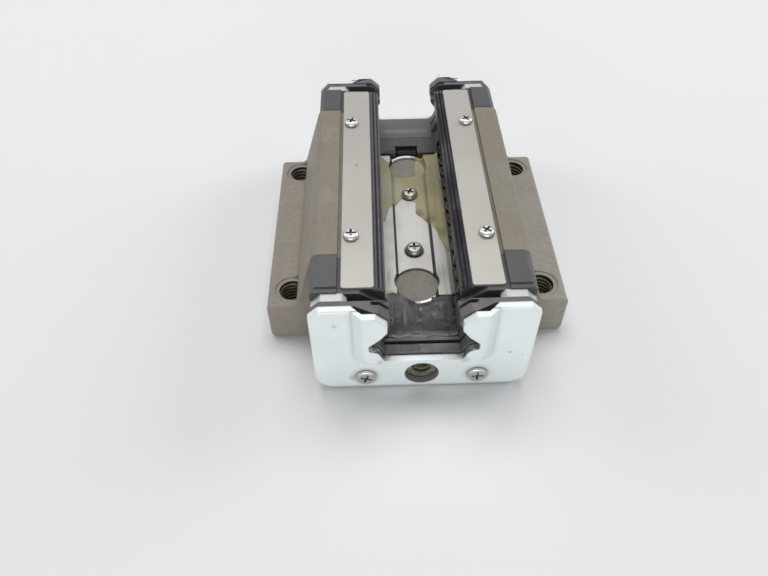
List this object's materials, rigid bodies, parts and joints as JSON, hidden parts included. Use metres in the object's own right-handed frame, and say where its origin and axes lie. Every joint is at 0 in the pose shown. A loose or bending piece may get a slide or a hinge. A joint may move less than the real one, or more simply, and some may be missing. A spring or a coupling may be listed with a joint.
{
  "type": "linear guide block",
  "caption": "Flanged steel carriage for a profiled linear rail, with recirculating ball rows, end caps, rubber end seals, formed covers and a threaded grease port.",
  "frame": {"origin": "centre of the mounting face, under the middle of the rail channel", "axes": "+X across the flange, +Y along the rail from the end shown nearest to the far end, +Z from the mounting face to the open side of the rail channel"},
  "size_m": [0.1, 0.1274, 0.0404],
  "materials": {
    "body_steel": "ground, matte, oiled",
    "retainer_steel": "bright rolled",
    "cap_plastic": "moulded, greasy",
    "plate_steel": "white plated",
    "cover_steel": "white plated",
    "seal_rubber": "moulded",
    "lip_rubber": "moulded",
    "bush_brass": "greasy",
    "screw_steel": "plated",
    "guide_plastic": "moulded",
    "keeper_plastic": "moulded, greasy",
    "strip_steel": "satin rolled",
    "ball_steel": "polished"
  },
  "bodies": {
    "carriage": {"block_body": "body_steel", "retainer_plate": "retainer_steel", "end_cap_front": "cap_plastic", "seal_plate_front": "plate_steel", "end_seal_front": "seal_rubber", "cover_plate_front": "cover_steel", "port_bush_front": "bush_brass", "cover_screws_front": "screw_steel", "return_guide_front_left": "guide_plastic", "return_guide_front_right": "guide_plastic", "end_cap_rear": "cap_plastic", "seal_plate_rear": "plate_steel", "end_seal_rear": "seal_rubber", "cover_plate_rear": "cover_steel", "port_bush_rear": "bush_brass", "cover_screws_rear": "screw_steel", "return_guide_rear_left": "guide_plastic", "return_guide_rear_right": "guide_plastic", "ball_keeper_left": "keeper_plastic", "side_strip_left": "strip_steel", "side_seal_left": "lip_rubber", "ball_keeper_right": "keeper_plastic", "side_strip_right": "strip_steel", "side_seal_right": "lip_rubber", "strip_screws": "screw_steel", "retainer_screws": "screw_steel"},
    "balls_lower_left_loaded": {"balls_lower_left_loaded": "ball_steel"},
    "balls_lower_left_return": {"balls_lower_left_return": "ball_steel"},
    "balls_lower_left_turn_front": {"balls_lower_left_turn_front": "ball_steel"},
    "balls_lower_left_turn_rear": {"balls_lower_left_turn_rear": "ball_steel"},
    "balls_lower_right_loaded": {"balls_lower_right_loaded": "ball_steel"},
    "balls_lower_right_return": {"balls_lower_right_return": "ball_steel"},
    "balls_lower_right_turn_front": {"balls_lower_right_turn_front": "ball_steel"},
    "balls_lower_right_turn_rear": {"balls_lower_right_turn_rear": "ball_steel"},
    "balls_upper_left_loaded": {"balls_upper_left_loaded": "ball_steel"},
    "balls_upper_left_return": {"balls_upper_left_return": "ball_steel"},
    "balls_upper_left_turn_front": {"balls_upper_left_turn_front": "ball_steel"},
    "balls_upper_left_turn_rear": {"balls_upper_left_turn_rear": "ball_steel"},
    "balls_upper_right_loaded": {"balls_upper_right_loaded": "ball_steel"},
    "balls_upper_right_return": {"balls_upper_right_return": "ball_steel"},
    "balls_upper_right_turn_front": {"balls_upper_right_turn_front": "ball_steel"},
    "balls_upper_right_turn_rear": {"balls_upper_right_turn_rear": "ball_steel"}
  },
  "joints": [
    {"name": "lower_left_loaded_slide", "type": "slide", "parent": "carriage", "child": "balls_lower_left_loaded", "axis": [0, 1, 0], "range_m": [-0.0034, 0.0034]},
    {"name": "lower_left_return_slide", "type": "slide", "parent": "carriage", "child": "balls_lower_left_return", "axis": [0, 1, 0], "range_m": [-0.0034, 0.0034]},
    {"name": "lower_left_front_turn", "type": "hinge", "parent": "carriage", "child": "balls_lower_left_turn_front", "pos_m": [-0.022, -0.04084, 0.02], "axis": [0, 0, 1], "range_deg": [-30, 30]},
    {"name": "lower_left_rear_turn", "type": "hinge", "parent": "carriage", "child": "balls_lower_left_turn_rear", "pos_m": [-0.022, 0.04084, 0.02], "axis": [0, 0, 1], "range_deg": [-30, 30]},
    {"name": "lower_right_loaded_slide", "type": "slide", "parent": "carriage", "child": "balls_lower_right_loaded", "axis": [0, 1, 0], "range_m": [-0.0034, 0.0034]},
    {"name": "lower_right_return_slide", "type": "slide", "parent": "carriage", "child": "balls_lower_right_return", "axis": [0, 1, 0], "range_m": [-0.0034, 0.0034]},
    {"name": "lower_right_front_turn", "type": "hinge", "parent": "carriage", "child": "balls_lower_right_turn_front", "pos_m": [0.022, -0.04084, 0.02], "axis": [0, 0, 1], "range_deg": [-30, 30]},
    {"name": "lower_right_rear_turn", "type": "hinge", "parent": "carriage", "child": "balls_lower_right_turn_rear", "pos_m": [0.022, 0.04084, 0.02], "axis": [0, 0, 1], "range_deg": [-30, 30]},
    {"name": "upper_left_loaded_slide", "type": "slide", "parent": "carriage", "child": "balls_upper_left_loaded", "axis": [0, 1, 0], "range_m": [-0.0034, 0.0034]},
    {"name": "upper_left_return_slide", "type": "slide", "parent": "carriage", "child": "balls_upper_left_return", "axis": [0, 1, 0], "range_m": [-0.0034, 0.0034]},
    {"name": "upper_left_front_turn", "type": "hinge", "parent": "carriage", "child": "balls_upper_left_turn_front", "pos_m": [-0.022, -0.04084, 0.0308], "axis": [0, 0, 1], "range_deg": [-30, 30]},
    {"name": "upper_left_rear_turn", "type": "hinge", "parent": "carriage", "child": "balls_upper_left_turn_rear", "pos_m": [-0.022, 0.04084, 0.0308], "axis": [0, 0, 1], "range_deg": [-30, 30]},
    {"name": "upper_right_loaded_slide", "type": "slide", "parent": "carriage", "child": "balls_upper_right_loaded", "axis": [0, 1, 0], "range_m": [-0.0034, 0.0034]},
    {"name": "upper_right_return_slide", "type": "slide", "parent": "carriage", "child": "balls_upper_right_return", "axis": [0, 1, 0], "range_m": [-0.0034, 0.0034]},
    {"name": "upper_right_front_turn", "type": "hinge", "parent": "carriage", "child": "balls_upper_right_turn_front", "pos_m": [0.022, -0.04084, 0.0308], "axis": [0, 0, 1], "range_deg": [-30, 30]},
    {"name": "upper_right_rear_turn", "type": "hinge", "parent": "carriage", "child": "balls_upper_right_turn_rear", "pos_m": [0.022, 0.04084, 0.0308], "axis": [0, 0, 1], "range_deg": [-30, 30]}
  ],
  "couplings": [
    {"joint": "lower_left_return_slide", "follows": "lower_left_loaded_slide", "ratio": -1},
    {"joint": "lower_left_front_turn", "follows": "lower_left_loaded_slide", "rad_per_m": 153.85},
    {"joint": "lower_left_rear_turn", "follows": "lower_left_loaded_slide", "rad_per_m": 153.85},
    {"joint": "lower_right_return_slide", "follows": "lower_right_loaded_slide", "ratio": -1},
    {"joint": "lower_right_front_turn", "follows": "lower_right_loaded_slide", "rad_per_m": -153.85},
    {"joint": "lower_right_rear_turn", "follows": "lower_right_loaded_slide", "rad_per_m": -153.85},
    {"joint": "upper_left_return_slide", "follows": "upper_left_loaded_slide", "ratio": -1},
    {"joint": "upper_left_front_turn", "follows": "upper_left_loaded_slide", "rad_per_m": 153.85},
    {"joint": "upper_left_rear_turn", "follows": "upper_left_loaded_slide", "rad_per_m": 153.85},
    {"joint": "upper_right_return_slide", "follows": "upper_right_loaded_slide", "ratio": -1},
    {"joint": "upper_right_front_turn", "follows": "upper_right_loaded_slide", "rad_per_m": -153.85},
    {"joint": "upper_right_rear_turn", "follows": "upper_right_loaded_slide", "rad_per_m": -153.85}
  ]
}
